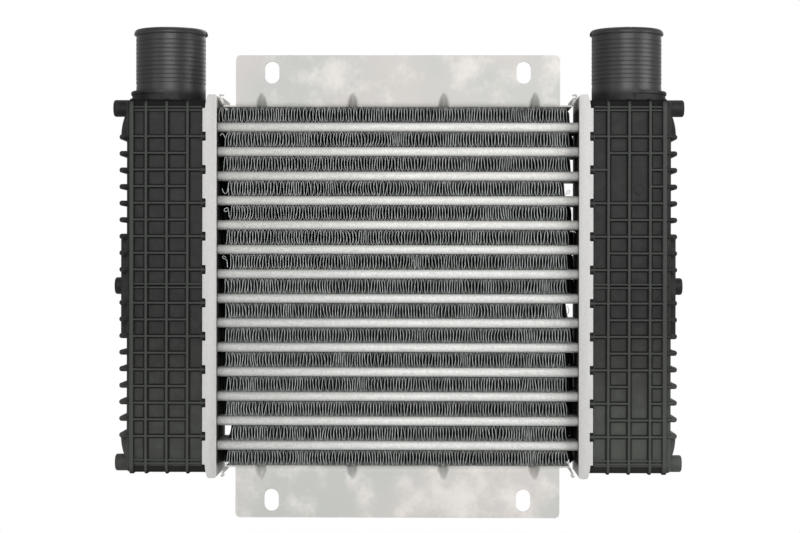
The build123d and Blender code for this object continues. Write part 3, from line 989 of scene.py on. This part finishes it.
def pressed(x, back, up):
    """Where a point of the sheet goes when the dents are pressed."""
    reach = (DENT_REACH - back - up) / 2**0.5
    near = min(abs(x - middle) for middle in DENTS)
    gap = reach - DENT_REACH / 2**0.5 * (near / DENT_WIDTH) ** 2
    if reach <= 0 or gap < -3 * DENT_BLEND:
        return back, up
    move = (gap + (gap * gap + DENT_BLEND**2) ** 0.5) / 2 - DENT_BLEND * 0.12
    move = max(0.0, min(move, reach))
    return back + move / 2**0.5, up + move / 2**0.5


def slot_tool(x, end):
    """An upright slot, as a closed tool that reaches through the flange."""
    middle = core_z + end * (seat_height + SLOT_RISE)
    rim = []
    for step in range(48):
        angle = 2 * pi * (step + 0.5) / 48
        lift = SLOT_HALF if sin(angle) > 0 else -SLOT_HALF
        rim.append((x + SLOT_RADIUS * cos(angle), middle + lift + SLOT_RADIUS * sin(angle)))
    return prism("slot_tool", rim, plate_low.y - 5 * MM, plate_low.y + 5 * MM)


def flange_sheet(end):
    """The bent sheet with its dents and slots. end is 1 at the top and -1 at the bottom."""
    section = plate_section()
    straight = flange_rise - FINE
    verts, faces = [], []
    for column in range(FLANGE_COLUMNS + 1):
        x = -FLANGE_HALF + 2 * FLANGE_HALF * column / FLANGE_COLUMNS
        # What the rounded corner takes off the flange here
        inside = min(CORNER_RADIUS, FLANGE_HALF - abs(x))
        lost = CORNER_RADIUS - (CORNER_RADIUS**2 - (CORNER_RADIUS - inside) ** 2) ** 0.5
        for back, up in section:
            back, up = pressed(x, back, up)
            if up > FINE:
                up = FINE + (up - FINE) * (straight - lost) / straight
            verts.append((x, back + plate_low.y, core_z + end * (seat_height + up)))
    count = len(section)
    for column in range(FLANGE_COLUMNS):
        for first in range(column * count, (column + 1) * count - 1):
            faces.append((first, first + 1, first + count + 1, first + count))
    mesh = bpy.data.meshes.new("flange_sheet")
    mesh.from_pydata(verts, [], faces)
    holder = new_object("flange_sheet_holder", mesh)
    thicken(holder, SHEET)
    return cut(baked(holder), [slot_tool(x, end) for x in (-SLOT_X, SLOT_X)])

# %% Plate ends
# Millimetres across and up from the outer fins, for the bent end and the hook in front of it
FLANGE_END = (FLANGE_HALF / MM - 1, 0)
PLATE_ENDS = {
    1: ([FLANGE_END, (145.6, 0), (147.2, 7)], [(145.6, 0.4), (149.4, 8), (148.6, 9.6), (145.8, 9)]),
    -1: (
        [FLANGE_END, (143.4, -0.3), (146.2, 5.6)],
        [(143.8, 0.4), (146.6, 5.6), (145.6, 6.8), (145.7, 8), (147, 8.4), (147.7, 7.4)],
    ),
}


def plate_ends(end):
    """The narrow sheet past the flange. It leans up beside the header plates, with a hook in front."""
    level = core_z + end * (seat_height + SHEET / 2)
    hook_depth = 4 * MM
    for path, depth in zip(PLATE_ENDS[end], (PLATE_DEPTH, hook_depth)):
        y = (depth - PLATE_DEPTH) / 2
        chains = [[(side * x * MM, y, level + end * rise * MM) for x, rise in path] for side in (-1, 1)]
        yield swept("plate_ends", chains, 1.3 * MM, depth, 0.3 * MM, MM, lay=ACROSS_Y)


for word, end in (("top", 1), ("bottom", -1)):
    plate = joined(word + "_flange_plate", [flange_sheet(end), *plate_ends(end)], plate_finish, 30)
    finish_piece(plate, "plate_aluminium", word + "_side_plate")

# %% [markdown]
# ## The camera, the light and the floor
#
# The camera stands where the photographer's did: 1.7 m in front of the part, a little right of its
# middle and above it. The photo has a plain white ground with no shadow, so the world is white to
# the camera and a soft grey room to everything else.

# %% Camera
FOCAL_PIXELS, IMAGE_WIDTH, SENSOR = 1998.0, 800.0, 36.0
YAW, PITCH, ROLL = -0.0137, -0.0016, 0.0015
data = bpy.data.cameras.new("photo_camera")
data.sensor_width = SENSOR
data.lens = FOCAL_PIXELS / IMAGE_WIDTH * SENSOR
data.clip_start = 0.05
camera = new_object("photo_camera", data)
forward = Vector((sin(YAW) * cos(PITCH), cos(YAW) * cos(PITCH), sin(PITCH)))
level = forward.cross(Vector((0, 0, 1))).normalized()
rise = level.cross(forward)
right = level * cos(ROLL) + rise * sin(ROLL)
turn = Matrix((right, right.cross(forward), -forward)).transposed().to_4x4()
camera.matrix_world = Matrix.Translation((24.86 * MM, -1700 * MM, 212.35 * MM)) @ turn
bpy.context.scene.camera = camera
print("camera set")

# %% Lamps
def area_light(name, place, target, size, watts):
    """A soft rectangular lamp that points from its place at a target."""
    data = bpy.data.lights.new(name, "AREA")
    data.shape = "RECTANGLE"
    data.size, data.size_y = size
    data.energy = watts
    aim = Vector(target) - Vector(place)
    turn = aim.to_track_quat("-Z", "Y").to_matrix().to_4x4()
    new_object(name, data).matrix_world = Matrix.Translation(place) @ turn


centre = (0, 0, core_z)
area_light("front_panel", (0.0, -3.6, 1.25), centre, (2.2, 2.2), 110)
area_light("left_panel", (-1.5, -1.5, 0.6), (-0.1, 0, 0.2), (0.8, 1.2), 6)
area_light("right_panel", (0.8, -0.36, 0.46), (0.21, 0, 0.38), (0.4, 0.4), 3.6)
area_light("back_panel", (0.6, 2.0, 1.2), centre, (1.4, 1.4), 10)
area_light("left_fill", (-1.7, 1.8, 0.7), centre, (1.2, 1.2), 0.8)
area_light("right_fill", (1.7, 1.8, 0.7), centre, (1.2, 1.2), 0.8)
area_light("top_fill", (0, 0.9, 2.4), centre, (1.2, 1.2), 16)
print(len(bpy.data.lights), "lamps")

# %% World
WHITE = (1, 1, 1, 1)


def ray_kind(start, kind):
    """1 for rays of this kind and 0 for all others."""
    return start.node("ShaderNodeLightPath", out=kind)


world = bpy.data.worlds.new("studio_room")
world.use_nodes = True
bpy.context.scene.world = world
world.node_tree.nodes.clear()
start = Sock(world.node_tree, None)
mirrored = ray_kind(start, "Is Glossy Ray") * 0.3
clear = ray_kind(start, "Is Transmission Ray")
seen = ray_kind(start, "Is Camera Ray").math("MAXIMUM", mirrored).math("MAXIMUM", clear)
background = start.node("ShaderNodeBackground", Color=WHITE, Strength=seen * 0.7 + 0.3)
start.fill(world.node_tree.nodes.new("ShaderNodeOutputWorld"), Surface=background)
bpy.context.scene.view_settings.view_transform = "Standard"

# %% Floor: plain, well below the part, and pure white to the camera
FLOOR_HALF, FLOOR_Z = 6.0, -0.30
turns = ((-1, -1), (1, -1), (1, 1), (-1, 1))
mesh = bpy.data.meshes.new("studio_floor")
mesh.from_pydata([(FLOOR_HALF * x, FLOOR_HALF * y, FLOOR_Z) for x, y in turns], [], [(0, 1, 2, 3)])
material, shader, start = start_material("floor_paint")
start.fill(shader, Base_Color=(0.8, 0.8, 0.8, 1), Roughness=0.9)
glow = start.node("ShaderNodeEmission", Color=WHITE, Strength=1.0)
paint = Sock(start.tree, shader.outputs[0])
surface(start, start.node("ShaderNodeMixShader", i0=ray_kind(start, "Is Camera Ray"), i1=paint, i2=glow))
mesh.materials.append(material)
new_object("studio_floor", mesh)
print("world and floor made")
